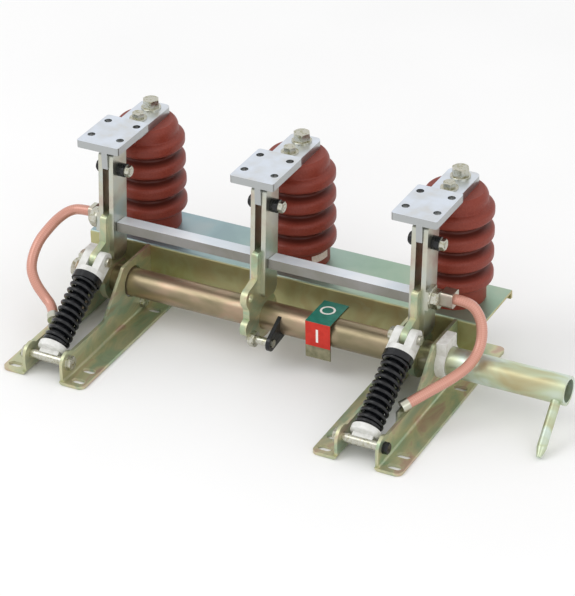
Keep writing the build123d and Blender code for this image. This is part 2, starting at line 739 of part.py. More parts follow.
    knots = [Vector(centre_x + side * x, y, z) for x, y, z in BRAID_POINTS[side_name]]
    braid_end = knots[-1]
    end_dir = (knots[-1] - knots[-2]).normalized()
    with BuildPart() as low_lug:
        with BuildSketch(Plane(origin=braid_end, z_dir=end_dir)):
            Circle(FERRULE_R)
        extrude(amount=FERRULE_L)
        ferrule_tip = braid_end + end_dir * FERRULE_L
        with BuildSketch(Plane.YZ.offset(centre_x + side * CHANNEL_HALF)):
            with Locations((ferrule_tip.Y, (LOW_LUG_LOW_Z + ferrule_tip.Z) / 2)):
                Rectangle(2 * LOW_LUG_HALF_Y, ferrule_tip.Z - LOW_LUG_LOW_Z)
        extrude(amount=-side * LOW_LUG_T)
    save(low_lug.part, f"{side_name}_lower_lug")

    runs = [(b - a).length for a, b in zip(knots, knots[1:])]
    turns = [(b - a).get_angle(c - b) for a, b, c in zip(knots, knots[1:], knots[2:])]
    radii = [
        ROUNDING_SHARE * min(before, after) / tan(radians(turn) / 2)
        for before, after, turn in zip(runs, runs[1:], turns)
    ]
    print(side_name, "braid", [round(r, 1) for r in radii], round(sum(runs), 1))
    with BuildPart() as braid:
        with BuildLine():
            path = FilletPolyline(*knots, radius=radii)
        with BuildSketch(Plane(origin=path @ 0, z_dir=path % 0)):
            Circle(BRAID_R)
        sweep(path=path)
    save(braid.part, f"{side_name}_braid")
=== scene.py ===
from math import cos, pi, radians, sin, tau

import bpy
import bmesh
from mathutils import Matrix, Vector


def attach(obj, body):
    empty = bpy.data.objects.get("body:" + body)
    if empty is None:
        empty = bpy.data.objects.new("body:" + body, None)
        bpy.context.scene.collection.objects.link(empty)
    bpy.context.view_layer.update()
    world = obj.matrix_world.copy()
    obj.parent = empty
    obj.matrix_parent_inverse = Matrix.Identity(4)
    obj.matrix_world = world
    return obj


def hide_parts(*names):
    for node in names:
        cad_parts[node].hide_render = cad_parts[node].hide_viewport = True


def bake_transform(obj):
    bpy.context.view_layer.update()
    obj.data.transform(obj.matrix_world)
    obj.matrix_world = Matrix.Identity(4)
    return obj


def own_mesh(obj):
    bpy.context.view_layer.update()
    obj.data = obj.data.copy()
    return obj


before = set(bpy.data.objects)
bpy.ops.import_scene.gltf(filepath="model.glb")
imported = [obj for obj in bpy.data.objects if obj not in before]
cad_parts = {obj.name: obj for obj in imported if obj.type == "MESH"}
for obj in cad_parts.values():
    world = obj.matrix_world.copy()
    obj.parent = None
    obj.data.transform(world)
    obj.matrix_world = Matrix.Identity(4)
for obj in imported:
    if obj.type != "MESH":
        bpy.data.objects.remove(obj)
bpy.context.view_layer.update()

# Beam across the back
# A folded beam that carries the three insulators, bent from 4 mm steel sheet and zinc plated.
# Its film is olive on the web; its top is painted lighter as a painted reflection of the sky,
# bluish on the left and greenish on the right.

# Socket numbers of a mix of two colours, because its other sockets have the same names
MIX_SHARE, MIX_A, MIX_B, MIXED = 0, 6, 7, 2


def linear(colour):
    """An sRGB hex colour as linear RGBA."""
    parts = [int(colour[i:i + 2], 16) / 255 for i in (1, 3, 5)]
    return [p / 12.92 if p <= 0.04045 else ((p + 0.055) / 1.055) ** 2.4 for p in parts] + [1.0]


def add_node(material, kind, sockets, stops=(), **settings):
    """Adds a node, or takes one that is there, with settings, colour stops, values and links."""
    tree = material.node_tree
    node = tree.nodes.new(kind) if isinstance(kind, str) else kind
    for name, value in settings.items():
        setattr(node, name, value)
    for i, (place, colour) in enumerate(stops):
        ramp = node.color_ramp.elements
        stop = ramp[i] if i < len(ramp) else ramp.new(place)
        stop.position, stop.color = place, linear(colour)
    for name, value in sockets.items():
        if isinstance(value, bpy.types.NodeSocket):
            tree.links.new(value, node.inputs[name])
        else:
            node.inputs[name].default_value = value
    return node


def new_material(name):
    """A material with its surface shader and the place on the object, in metres."""
    material = bpy.data.materials.new(name)
    material.use_nodes = True
    place = add_node(material, "ShaderNodeTexCoord", {}).outputs["Object"]
    return material, material.node_tree.nodes["Principled BSDF"], place


def lit_top_share(material):
    """The share of painted top light: 0 on walls and undersides, 1 on level tops, which are painted
    as lit.
    """
    normal = add_node(material, "ShaderNodeNewGeometry", {}).outputs["Normal"]
    upward = add_node(material, "ShaderNodeSeparateXYZ", {"Vector": normal}).outputs["Z"]
    wall, top = 0.3, 0.9
    share = add_node(
        material, "ShaderNodeMapRange", {"Value": upward, "From Min": wall, "From Max": top},
    )
    return share.outputs["Result"]


def fine_finish(material, place, size, dull, bump=None):
    """Roughness between two values, and bump of a strength and depth, from grain of a size."""
    grain = add_node(
        material, "ShaderNodeTexNoise", {"Vector": place, "Scale": 1 / size, "Detail": 2.0},
    ).outputs["Fac"]
    smoothest, roughest = dull
    roughness = add_node(
        material, "ShaderNodeMapRange", {"Value": grain, "To Min": smoothest, "To Max": roughest},
    )
    finish = {"Roughness": roughness.outputs["Result"]}
    if bump:
        strength, depth = bump
        relief = add_node(
            material, "ShaderNodeBump", {"Height": grain, "Strength": strength, "Distance": depth},
        )
        finish["Normal"] = relief.outputs["Normal"]
    return finish


def dress(names, material, edge=0.0):
    """Gives CAD nodes a material, and breaks their sharp edges by the given radius."""
    weld_gap, sharp_turn, edge_steps = 0.00001, radians(40), 2
    for name in names:
        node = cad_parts[name]
        node.data.materials.clear()
        node.data.materials.append(material)
        if edge:
            node.modifiers.new("joined", "WELD").merge_threshold = weld_gap
            rounding = node.modifiers.new("edges", "BEVEL")
            rounding.width, rounding.segments = edge, edge_steps
            rounding.limit_method, rounding.angle_limit = "ANGLE", sharp_turn
            node.modifiers.new("shading", "WEIGHTED_NORMAL").keep_sharp = True


# Zinc plate: a satin film over metal that mirrors its surroundings softly, in cloudy tints some
# 50 mm across, with the grain of rolled sheet, drawn at 2 mm as the real one is too fine to show
beam_zinc, surface, place = new_material("zinc_plate_blue_and_olive")
tint_size, sheet_grain = 0.050, 0.002
blue_until_x, green_from_x = -0.15, 0.12
cloud = add_node(
    beam_zinc, "ShaderNodeTexNoise",
    {"Vector": place, "Scale": 1 / tint_size, "Detail": 3.0, "Distortion": 0.5},
).outputs["Fac"]
olive, bluish, greenish = (
    add_node(beam_zinc, "ShaderNodeValToRGB", {"Fac": cloud}, stops).outputs["Color"]
    for stops in (
        ((0.30, "#b0a676"), (0.45, "#bdbb8a"), (0.58, "#b8ac7e"), (0.72, "#c8d1a8")),
        ((0.32, "#93a9b1"), (0.52, "#9ab2b8"), (0.70, "#a6b5b8")),
        ((0.32, "#97b29c"), (0.52, "#9fb7a3"), (0.70, "#aabba6")),
    )
)
along_beam = add_node(beam_zinc, "ShaderNodeSeparateXYZ", {"Vector": place}).outputs["X"]
rightward = add_node(
    beam_zinc, "ShaderNodeMapRange",
    {"Value": along_beam, "From Min": blue_until_x, "From Max": green_from_x},
)
# Painted reflection of the sky: the top is painted lighter than the olive web, bluish on the left,
# greenish on the right
lit_top_film = add_node(
    beam_zinc, "ShaderNodeMix",
    {MIX_SHARE: rightward.outputs["Result"], MIX_A: bluish, MIX_B: greenish}, data_type="RGBA",
)
film = add_node(
    beam_zinc, "ShaderNodeMix",
    {MIX_SHARE: lit_top_share(beam_zinc), MIX_A: olive, MIX_B: lit_top_film.outputs[MIXED]},
    data_type="RGBA",
)
add_node(beam_zinc, surface, {
    "Base Color": film.outputs[MIXED], "Metallic": 0.75,
    **fine_finish(beam_zinc, place, sheet_grain, dull=(0.32, 0.44), bump=(0.03, 0.0001)),
})
dress(["base_beam"], beam_zinc, edge=0.0006)

# Slotted feet
# Four feet of 4 mm plate, punched and bent, bolted under the beam as two channels round the shaft.
# Their film is thicker than the beam's, so it runs through olive, green, straw and pink.

# Yellow passivated zinc: satin metal with rainbow clouds some 30 mm across, drawn out along the
# feet where the bath drained, over the same rolled grain as the beam's
yellow_zinc, surface, place = new_material("yellow_passivated_zinc")
cloud_size, drawn_out = 0.030, (1.0, 0.45, 1.0)
stretch = add_node(yellow_zinc, "ShaderNodeMapping", {"Vector": place, "Scale": drawn_out})
cloud = add_node(yellow_zinc, "ShaderNodeTexNoise", {
    "Vector": stretch.outputs["Vector"], "Scale": 1 / cloud_size,
    "Detail": 4.0, "Roughness": 0.55, "Distortion": 0.8,
})
film = add_node(yellow_zinc, "ShaderNodeValToRGB", {"Fac": cloud.outputs["Fac"]}, stops=(
    (0.28, "#a49d7e"), (0.40, "#a3b79a"), (0.50, "#b9bc9b"),
    (0.58, "#c9c6a2"), (0.67, "#c3a794"), (0.78, "#abb096"),
))
add_node(yellow_zinc, surface, {
    "Base Color": film.outputs["Color"], "Metallic": 0.75,
    **fine_finish(yellow_zinc, place, sheet_grain, dull=(0.32, 0.44), bump=(0.03, 0.0001)),
})
feet = [f"{side}_{row}_bracket" for side in ("left", "right") for row in ("outer", "inner")]
dress(feet, yellow_zinc, edge=0.0006)

# Shaft bearings
# White nylon blocks, turned and drilled for the shaft and screwed to the outer faces of the feet.
# No current runs through them: the braids lead it past.


def mottle(material, place, size, stops, detail=3.0):
    """A noise with patches of the given size, and the colours that it runs through."""
    patches = add_node(
        material, "ShaderNodeTexNoise", {"Vector": place, "Scale": 1 / size, "Detail": detail},
    ).outputs["Fac"]
    colours = add_node(material, "ShaderNodeValToRGB", {"Fac": patches}, stops)
    return patches, colours.outputs["Color"]


# Nylon: dense white plastic, a little waxy, with a soft broad highlight and faint flecks of 6 mm
nylon, surface, place = new_material("white_nylon")
fleck, shade = mottle(nylon, place, size=0.006, stops=((0.35, "#d9d9d4"), (0.65, "#e9e9e6")))
turned = add_node(nylon, "ShaderNodeBump", {"Height": fleck, "Strength": 0.10, "Distance": 0.0003})
add_node(nylon, surface, {
    "Base Color": shade, "Roughness": 0.42, "IOR": 1.53, "Normal": turned.outputs["Normal"],
})
dress(["left_bearing", "right_bearing"], nylon, edge=0.0004)

# Post insulators
# Solid posts of red-brown epoxy resin, cast in a polished mould with four rounded sheds.
# A brass insert at each end takes the bolts of the beam and of the fixed contact.
phase_pitch, post_y = 0.210, 0.170
phases = {"left": -phase_pitch, "middle": 0.0, "right": phase_pitch}

# Cast epoxy resin: hard, opaque and smooth, mottled by its quartz filler, which is drawn at 2 mm
# as it is too fine to show, with painted shade that darkens the grooves between the sheds
resin, surface, place = new_material("cast_epoxy_resin")
groove_shade_from_r, groove_shade_full_r = 0.0442, 0.0385
grooves_z, grooves_half = 0.157, 0.048
filler, unshaded_resin = mottle(resin, place, size=0.002, stops=((0.35, "#7e3326"), (0.65, "#873b2d")))
spot = add_node(resin, "ShaderNodeSeparateXYZ", {"Vector": place})
off_x = add_node(
    resin, "ShaderNodeMath", {0: spot.outputs["X"], 1: phase_pitch / 2, 2: -phase_pitch / 2},
    operation="WRAP",
)
off_y = add_node(resin, "ShaderNodeMath", {0: spot.outputs["Y"], 1: post_y}, operation="SUBTRACT")
off_axis = add_node(resin, "ShaderNodeCombineXYZ", {"X": off_x.outputs[0], "Y": off_y.outputs[0]})
radius = add_node(resin, "ShaderNodeVectorMath", {0: off_axis.outputs[0]}, operation="LENGTH")
# Painted shade: deep in the grooves, between the lowest and the highest shed, the resin is painted
# dark
deep = add_node(
    resin, "ShaderNodeMapRange",
    {"Value": radius.outputs["Value"], "From Min": groove_shade_from_r, "From Max": groove_shade_full_r},
)
between = add_node(
    resin, "ShaderNodeMath", {0: spot.outputs["Z"], 1: grooves_z, 2: grooves_half},
    operation="COMPARE",
)
painted_groove_shade = add_node(
    resin, "ShaderNodeMath", {0: deep.outputs["Result"], 1: between.outputs[0]},
    operation="MULTIPLY",
)
shade = add_node(
    resin, "ShaderNodeMix",
    {MIX_SHARE: painted_groove_shade.outputs[0], MIX_A: unshaded_resin, MIX_B: linear("#55231a")}, data_type="RGBA",
)
relief = add_node(resin, "ShaderNodeBump", {"Height": filler, "Strength": 0.03, "Distance": 0.0001})
add_node(resin, surface, {
    "Base Color": shade.outputs[MIXED], "Roughness": 0.42, "IOR": 1.55,
    "Specular IOR Level": 0.25, "Normal": relief.outputs["Normal"],
})
dress([f"{phase}_insulator" for phase in phases], resin)

# Blank paper patch: matt and cream with fibres of 3 mm, stuck round the foot of the middle post
patch_paper, surface, place = new_material("cream_paper")
_, shade = mottle(
    patch_paper, place, size=0.003, detail=4.0, stops=((0.35, "#d9c3b4"), (0.65, "#e6d6ca")),
)
add_node(patch_paper, surface, {"Base Color": shade, "Roughness": 0.8})


def solid_of_loops(name, islands, material, body, sharp, capped=True):
    """A mesh skinned over rows of closed loops, capped or joined end to end, that rides on a body.
    Edges that turn by more than the sharp angle, in degrees, stay crisp."""
    shell = bmesh.new()
    for loops in islands:
        rows = [[shell.verts.new(point) for point in loop] for loop in loops]
        for low, high in zip(rows, rows[1:] if capped else rows[1:] + rows[:1]):
            for i in range(len(low)):
                j = (i + 1) % len(low)
                shell.faces.new((low[i], low[j], high[j], high[i]))
        if capped:
            shell.faces.new(rows[0][::-1])
            shell.faces.new(rows[-1])
    bmesh.ops.recalc_face_normals(shell, faces=shell.faces)
    mesh = bpy.data.meshes.new(name)
    shell.to_mesh(mesh)
    shell.free()
    mesh.shade_smooth()
    mesh.set_sharp_from_angle(angle=radians(sharp))
    mesh.materials.append(material)
    piece = bpy.data.objects.new(name, mesh)
    bpy.context.collection.objects.link(piece)
    if body:
        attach(piece, body)
    return piece


patch_in_r, patch_out_r = 0.03854, 0.03868
patch_low, patch_high = 0.0915, 0.1012
patch_start, patch_step, patch_rows = 51, 2.5, 17
profile = (
    (patch_in_r, patch_low), (patch_out_r, patch_low),
    (patch_out_r, patch_high), (patch_in_r, patch_high),
)
strips = []
for i in range(patch_rows):
    turn = radians(patch_start + patch_step * i)
    strips.append([(r * sin(turn), post_y - r * cos(turn), z) for r, z in profile])
solid_of_loops("middle_post_patch", [strips], patch_paper, "frame", sharp=30)

# Fixed contacts
# A drilled copper pad, the strap under it and the tongue that the blades grip, silver plated.
# Two hex bolts hold each strap to the head of its insulator.

# Silver-plated copper: pale metal, brushed along the bar in lines some 0.6 mm apart, tarnished in
# patches of 20 mm; its tops are painted pale and bluish as a painted reflection of the sky, and its
# sides grey as painted shade
silver, surface, place = new_material("silver_plated_copper")
brush_lines, along_bar = 0.0006, (1.0, 0.06, 1.0)
lines = add_node(silver, "ShaderNodeMapping", {"Vector": place, "Scale": along_bar})
_, tarnish_and_sky_reflection = mottle(
    silver, place, size=0.020, detail=4.0,
    stops=((0.35, "#d9e0ea"), (0.55, "#d3d8de"), (0.75, "#cfcfcd")),
)
# Painted light: grey sides as painted shade, pale bluish tops as a painted reflection of the sky
tint = add_node(
    silver, "ShaderNodeMix",
    {MIX_SHARE: lit_top_share(silver), MIX_A: linear("#b0b3b3"), MIX_B: tarnish_and_sky_reflection}, data_type="RGBA",
)
add_node(silver, surface, {
    "Base Color": tint.outputs[MIXED], "Metallic": 1.0,
    **fine_finish(
        silver, lines.outputs["Vector"], brush_lines, dull=(0.24, 0.40), bump=(0.10, 0.0001),
    ),
})
dress([f"{phase}_fixed_contact" for phase in phases], silver, edge=0.0007)


def hex_fastener(name, seat, axis, size, material, body, stud=None):
    """A hex head or nut on its washer. Seat is the point it bears on, and axis points out of the
    surface. Size is its width across flats and height, and its washer's radius and thickness.
    Stud is the radius and length of the thread that shows."""
    flats, height, rim, thick = size
    turn = Vector(axis).to_track_quat("Z", "Y").to_matrix().to_4x4()
    turn.translation = seat
    corners, chamfer_slope = 36, 1.73
    angles = [radians(360 / corners * i) for i in range(corners)]
    flat = [flats / 2 / cos(a % (pi / 3) - pi / 6) for a in angles]

    def ring(radii, heights):
        return [
            turn @ Vector((r * cos(a), r * sin(a), z)) for a, r, z in zip(angles, radii, heights)
        ]

    def round_ring(radius, z):
        return ring([radius] * corners, [z] * corners)

    washer_wall, washer_edge = 0.8 * thick, 0.2 * thick
    top = thick + height
    crown = 0.47 * flats
    bevel = [top - (r - crown) / chamfer_slope for r in flat]
    islands = [
        [round_ring(rim, 0), round_ring(rim, washer_wall), round_ring(rim - washer_edge, thick)],
        [ring(flat, [thick] * corners), ring(flat, bevel), round_ring(crown, top)],
    ]
    if stud:
        crest, length = stud
        root, tip, pitch, sunk = 0.90, 0.8, 0.0012, 0.0005
        turns = max(1, round(length / pitch))
        thread = [
            round_ring(crest * (root if i % 2 else 1.0), top - sunk + i * pitch / 2)
            for i in range(2 * turns)
        ]
        islands.append(thread + [round_ring(tip * crest, top + length)])
    return solid_of_loops(name, islands, material, body, sharp=30)


# Bright zinc: the silvery metal of bolts and nuts, smooth, with handling marks of some 4 mm
bright_zinc, surface, place = new_material("bright_zinc_fastener")
marks, tint = mottle(
    bright_zinc, place, size=0.004, detail=4.0,
    stops=((0.35, "#a9a68f"), (0.55, "#c4c4ba"), (0.75, "#b7ae98")),
)
dull = add_node(bright_zinc, "ShaderNodeMapRange", {"Value": marks, "To Min": 0.20, "To Max": 0.38})
add_node(bright_zinc, surface, {
    "Base Color": tint, "Metallic": 1.0, "Roughness": dull.outputs["Result"],
})
strap_top = 0.237
strap_bolts = {
    "front": (0.150, (0.014, 0.0065, 0.011, 0.0015)),
    "rear": (0.182, (0.019, 0.0105, 0.0125, 0.0020)),
}
for phase, x in phases.items():
    for row, (y, size) in strap_bolts.items():
        name = f"{phase}_strap_bolt_{row}"
        hex_fastener(name, (x, y, strap_top), (0, 0, 1), size, bright_zinc, "frame")

# Shaft and lever rod
# A hollow steel tube in two bearings, open at the driven end, with a solid rod through its wall.
# Both are zinc plated; the tube's film is brownish with a rose tint.

# Passivated tube: satin metal, rose-brown with olive bands some 80 mm long, paler and greener at
# the driven end, with grain of 1.5 mm drawn along the tube
tube_zinc, surface, place = new_material("rose_passivated_tube")
band_size, tube_grain, drawn_out = 0.032, 0.0015, (0.4, 1.0, 1.0)
brown_until_x, pale_from_x = 0.19, 0.27
stretch = add_node(tube_zinc, "ShaderNodeMapping", {"Vector": place, "Scale": drawn_out})
along_tube = stretch.outputs["Vector"]
cloud = add_node(
    tube_zinc, "ShaderNodeTexNoise",
    {"Vector": along_tube, "Scale": 1 / band_size, "Detail": 3.0, "Distortion": 0.6},
).outputs["Fac"]
brown, pale = (
    add_node(tube_zinc, "ShaderNodeValToRGB", {"Fac": cloud}, stops).outputs["Color"]
    for stops in (
        ((0.30, "#847b60"), (0.45, "#988a70"), (0.58, "#ab937c"), (0.72, "#a2a58c")),
        ((0.30, "#b7ad86"), (0.45, "#c2cbab"), (0.58, "#d0ddd2"), (0.72, "#ccbb9b")),
    )
)
side_x = add_node(tube_zinc, "ShaderNodeSeparateXYZ", {"Vector": place}).outputs["X"]
driven = add_node(
    tube_zinc, "ShaderNodeMapRange",
    {"Value": side_x, "From Min": brown_until_x, "From Max": pale_from_x},
)
film = add_node(
    tube_zinc, "ShaderNodeMix",
    {MIX_SHARE: driven.outputs["Result"], MIX_A: brown, MIX_B: pale}, data_type="RGBA",
)
add_node(tube_zinc, surface, {
    "Base Color": film.outputs[MIXED], "Metallic": 0.8,
    **fine_finish(tube_zinc, along_tube, tube_grain, dull=(0.28, 0.40)),
})
dress(["main_shaft", "lever_rod"], tube_zinc)

# Arms, drive crank and position plate
# Steel plates flame cut and welded round the shaft, and a short crank whose pin takes the link of
# the drive; the crank is black oxide, and its black stands partly as painted shade on its face. The
# bent plate shows the shaft's position: a ring on top, a bar in front.
dress([f"{phase}_arm" for phase in phases], yellow_zinc, edge=0.0008)

# Blackened steel: dark oxide with an oily sheen that changes over some 3 mm
black_steel, surface, place = new_material("black_oxide_steel")
oil, shade = mottle(black_steel, place, size=0.003, stops=((0.35, "#0c0d10"), (0.65, "#17191d")))
dull = add_node(black_steel, "ShaderNodeMapRange", {"Value": oil, "To Min": 0.18, "To Max": 0.28})
add_node(black_steel, surface, {
    "Base Color": shade, "Roughness": dull.outputs["Result"], "IOR": 1.45,
})
# Partly painted shade: the crank is dressed black, which also stands for the shade on its face
dress(["drive_crank"], black_steel, edge=0.0005)
dress(["drive_pin"], bright_zinc, edge=0.0006)
drive_nut_seat, drive_nut, drive_thread = (
    (0.011, 0.0335, 0.040), (0.017, 0.0070, 0.0095, 0.0015), (0.005, 0.004),
)
hex_fastener(
    "drive_pin_nut", drive_nut_seat, (-1, 0, 0), drive_nut, bright_zinc, "shaft", drive_thread,
)

# Painted sheet: semi-gloss enamel in red and green with white signs, over the bare zinc of the
# plate, all of it clouded a little by wear in patches of 8 mm
sign_paint, surface, place = new_material("enamel_on_zinc")
front_until_y, red_from_z, green_from_z = 0.0525, 0.0385, 0.0716
ring_centre, ring_r, ring_half = (0.0825, 0.0838, 0.072), 0.0083, 0.0014
bar_x, bar_half_x, bar_z, bar_half_z = 0.0835, 0.0015, 0.0535, 0.0090
wear_size, sign_white = 0.008, linear("#f2efe9")
spot = add_node(sign_paint, "ShaderNodeSeparateXYZ", {"Vector": place})
x, y, z = (spot.outputs[i] for i in "XYZ")
reach = add_node(
    sign_paint, "ShaderNodeVectorMath", {0: place, 1: ring_centre}, operation="DISTANCE",
)
on_front, above, green_area, ring_sign, bar_wide, bar_tall = (
    add_node(sign_paint, "ShaderNodeMath", dict(enumerate(values)), operation=test).outputs[0]
    for test, values in (
        ("LESS_THAN", (y, front_until_y)),
        ("GREATER_THAN", (z, red_from_z)),
        ("GREATER_THAN", (z, green_from_z)),
        ("COMPARE", (reach.outputs["Value"], ring_r, ring_half)),
        ("COMPARE", (x, bar_x, bar_half_x)),
        ("COMPARE", (z, bar_z, bar_half_z)),
    )
)
red_area, bar_sign = (
    add_node(sign_paint, "ShaderNodeMath", {0: one, 1: other}, operation="MULTIPLY").outputs[0]
    for one, other in ((on_front, above), (bar_wide, bar_tall))
)
wear = add_node(
    sign_paint, "ShaderNodeTexNoise", {"Vector": place, "Scale": 1 / wear_size, "Detail": 4.0},
).outputs["Fac"]
bare, red, green = (
    add_node(sign_paint, "ShaderNodeValToRGB", {"Fac": wear}, stops).outputs["Color"]
    for stops in (
        ((0.35, "#7d7c62"), (0.65, "#9a967c")),
        ((0.35, "#bf2415"), (0.65, "#cf2f1e")),
        ((0.35, "#20705f"), (0.65, "#2b8070")),
    )
)
colour = bare
for area, paint, sign in ((red_area, red, bar_sign), (green_area, green, ring_sign)):
    field = add_node(
        sign_paint, "ShaderNodeMix", {MIX_SHARE: sign, MIX_A: paint, MIX_B: sign_white},
        data_type="RGBA",
    )
    colour = add_node(
        sign_paint, "ShaderNodeMix",
        {MIX_SHARE: area, MIX_A: colour, MIX_B: field.outputs[MIXED]}, data_type="RGBA",
    ).outputs[MIXED]
painted = add_node(sign_paint, "ShaderNodeMath", {0: red_area, 1: green_area}, operation="MAXIMUM")
metal = add_node(
    sign_paint, "ShaderNodeMath", {0: 1.0, 1: painted.outputs[0]}, operation="SUBTRACT",
)
add_node(sign_paint, surface, {
    "Base Color": colour, "Metallic": metal.outputs[0], "Roughness": 0.40,
    "Specular IOR Level": 0.35,
})
dress(["indicator_flag"], sign_paint)

# Blades and their clamps
# Pairs of flat copper bars, silver plated and bolted to the arms; two crossbars join the phases.
# A bolt through stacks of black disc springs presses each pair on the tongue of its contact.

# Plated blade: pale metal as the fixed contacts are, but brushed along the blade in lines some
# 0.8 mm apart and a little yellower, with tarnish in patches of 30 mm
blade_silver, surface, place = new_material("silver_plated_blade")
brush_lines, along_blade = 0.0008, (1.0, 1.0, 0.06)
lines = add_node(blade_silver, "ShaderNodeMapping", {"Vector": place, "Scale": along_blade})
_, tint = mottle(
    blade_silver, place, size=0.030, detail=4.0,
    stops=((0.32, "#bfc4bd"), (0.50, "#c3c2b2"), (0.68, "#b9a99d")),
)
add_node(blade_silver, surface, {
    "Base Color": tint, "Metallic": 1.0,
    **fine_finish(
        blade_silver, lines.outputs["Vector"], brush_lines, dull=(0.24, 0.40), bump=(0.10, 0.0001),
    ),
})
dress([f"{phase}_blades" for phase in phases], blade_silver, edge=0.0006)

# Tinned crossbar: painted pale on top as painted light and dull grey-brown on its sides as painted
# shade, with a bloom in patches of 40 mm and lines of 1 mm along the bar
bar_tin, surface, place = new_material("tinned_crossbar")
bloom_size, brush_lines, along_bar = 0.040, 0.0010, (0.05, 1.0, 1.0)
lines = add_node(bar_tin, "ShaderNodeMapping", {"Vector": place, "Scale": along_bar})
bloom = add_node(
    bar_tin, "ShaderNodeTexNoise", {"Vector": place, "Scale": 1 / bloom_size, "Detail": 3.0},
).outputs["Fac"]
lit_top_tin, shaded_side_tin = (
    add_node(bar_tin, "ShaderNodeValToRGB", {"Fac": bloom}, stops).outputs["Color"]
    for stops in (((0.35, "#dde6ee"), (0.65, "#ebeff4")), ((0.35, "#807e75"), (0.65, "#908e8b")))
)
# Painted light: the top takes the pale tin colours, the sides the painted shade
tint = add_node(
    bar_tin, "ShaderNodeMix", {MIX_SHARE: lit_top_share(bar_tin), MIX_A: shaded_side_tin, MIX_B: lit_top_tin},
    data_type="RGBA",
)
add_node(bar_tin, surface, {
    "Base Color": tint.outputs[MIXED], "Metallic": 0.35,
    **fine_finish(bar_tin, lines.outputs["Vector"], brush_lines, dull=(0.36, 0.50)),
})
dress(["left_crossbar", "right_crossbar"], bar_tin, edge=0.0010)
dress(["contact_springs"], black_steel, edge=0.0005)
dress(["clamp_bolts"], bright_zinc, edge=0.0004)
shaft_y, shaft_z, blade_tilt = 0.072, 0.052, radians(4.4)
clamp_reach = 0.1485
clamp_ends = {
    "head": (-1, 0.0175, (0.013, 0.0016, 0.0070, 0.0008), black_steel),
    "nut": (1, 0.0200, (0.013, 0.0055, 0.0070, 0.0008), bright_zinc),
}


def on_blade(x, u, v):
    """A point u along and v behind a blade's middle line, measured from the shaft axis."""
    return (
        x,
        shaft_y + u * sin(blade_tilt) + v * cos(blade_tilt),
        shaft_z + u * cos(blade_tilt) - v * sin(blade_tilt),
    )


for phase, x in phases.items():
    for end, (hand, out, size, finish) in clamp_ends.items():
        seat = on_blade(x + hand * out, clamp_reach, 0)
        hex_fastener(f"{phase}_clamp_{end}", seat, (hand, 0, 0), size, finish, "shaft")

# Spring struts
# Each strut stands on a pin through the feet: a saddle, a white nylon seat, a spring and a fork.
# The fork is pinned to the arm's crank lug, so the spring goes over centre as the shaft turns.
strut_angle = radians(31.1028)
along = Vector((0, cos(strut_angle), sin(strut_angle)))
across = Vector((0, -sin(strut_angle), cos(strut_angle)))
foot_pin = Vector((0, -0.086, 0.022))
seat_top, fork_seat = 0.017, 0.11632
coil_r, wire_r, coils, coil_steps = 0.0145, 0.0025, 11.5, 24
wire_sides, turned_sides = 14, 32

# The end coils are closed: each rises by less than two radii of its wire, so that it lies flat
end_coils, closed_pitch = 2, 1.9
free_coils = coils - end_coils
closed_rise = 2 * wire_r + end_coils * closed_pitch * wire_r

# Turned pieces inside the spring and round its top: body, then height up the strut and radius
turned_pieces = {
    "guide_tube": ("strut", (
        (seat_top, 0.0112), (0.0740, 0.0112), (0.0745, 0.0108), (0.0745, 0.0101),
        (seat_top, 0.0101),
    )),
    "guide_sleeve": ("fork_body", (
        (fork_seat, 0.0097), (0.0660, 0.0097), (0.0655, 0.0092), (0.0655, 0.0070),
        (fork_seat, 0.0070),
    )),
    "spring_cup": ("fork_body", (
        (fork_seat, 0.0173), (fork_seat - 0.0085, 0.0173), (fork_seat - 0.0090, 0.0178),
        (fork_seat - 0.0085, 0.0187), (fork_seat - 0.0005, 0.0187), (fork_seat, 0.0182),
    )),
}


def tube_loops(line, radius, sides):
    """Rings of points round a line, each turned as little as can be from the last."""
    loops = []
    ahead = (line[1] - line[0]).normalized()
    side = ahead.orthogonal().normalized()
    angles = [tau * k / sides for k in range(sides)]
    for i, point in enumerate(line):
        ahead = (line[min(i + 1, len(line) - 1)] - line[max(i - 1, 0)]).normalized()
        side = (side - ahead * side.dot(ahead)).normalized()
        up = ahead.cross(side)
        loops.append([point + radius * (cos(a) * side + sin(a) * up) for a in angles])
    return loops


def on_strut(base, height, radius, angle):
    """A point at a height up a strut from its foot pin, out from its middle line at an angle."""
    return base + along * height + radius * (cos(angle) * Vector((1, 0, 0)) + sin(angle) * across)


